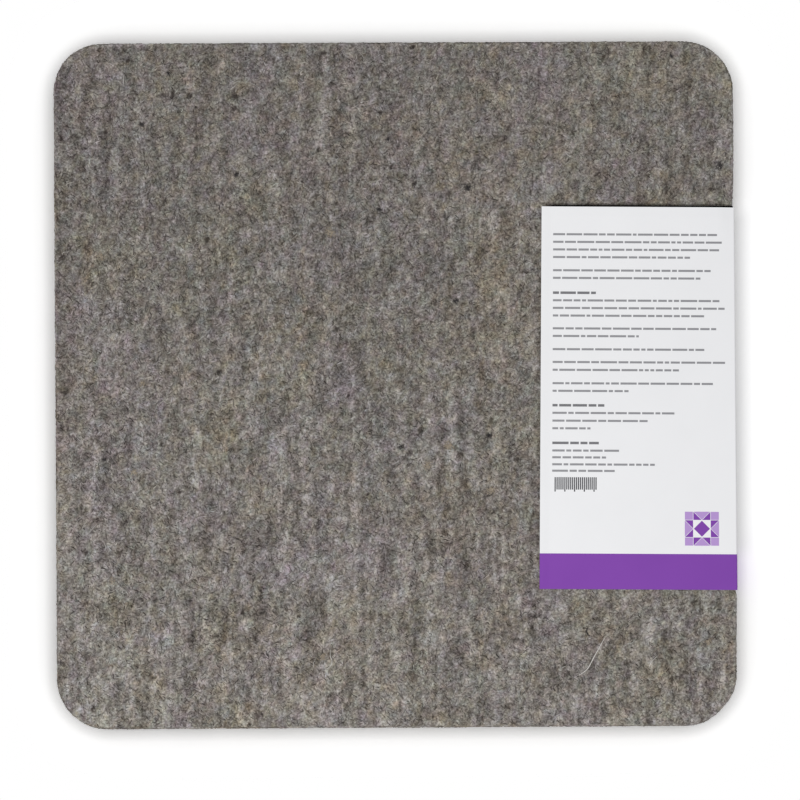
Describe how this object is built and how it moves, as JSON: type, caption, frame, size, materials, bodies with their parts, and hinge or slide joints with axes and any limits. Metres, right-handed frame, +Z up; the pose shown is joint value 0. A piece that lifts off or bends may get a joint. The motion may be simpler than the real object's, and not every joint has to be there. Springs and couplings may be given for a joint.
{
  "type": "wool pressing mat",
  "caption": "Thick square felted wool pressing mat with rounded corners, with a folded card wrap that grips its edge, opens at its creases and pulls off.",
  "frame": {"origin": "middle of the felt's underside", "axes": "+Z up through the mat's thickness, +X towards the edge that the card wrap covers, +Y along that edge"},
  "size_m": [0.3407, 0.343, 0.0134],
  "materials": {
    "wool_felt": "matte",
    "wrap_card": "satin"
  },
  "bodies": {
    "mat": {"felt_mat": "wool_felt"},
    "wrap_spine": {"card_spine": "wrap_card"},
    "wrap_top": {"card_top_panel": "wrap_card"},
    "wrap_bottom": {"card_bottom_panel": "wrap_card"}
  },
  "joints": [
    {"name": "wrap_slide", "type": "slide", "parent": "mat", "child": "wrap_spine", "axis": [1, 0, 0], "range_m": [0, 0.105]},
    {"name": "top_crease", "type": "hinge", "parent": "wrap_spine", "child": "wrap_top", "pos_m": [0.1707, -0.00785, 0.0134], "axis": [0, 1, 0], "range_deg": [0, 90]},
    {"name": "bottom_crease", "type": "hinge", "parent": "wrap_spine", "child": "wrap_bottom", "pos_m": [0.1707, -0.00801, 0], "axis": [0, -1, 0], "range_deg": [0, 90]}
  ]
}
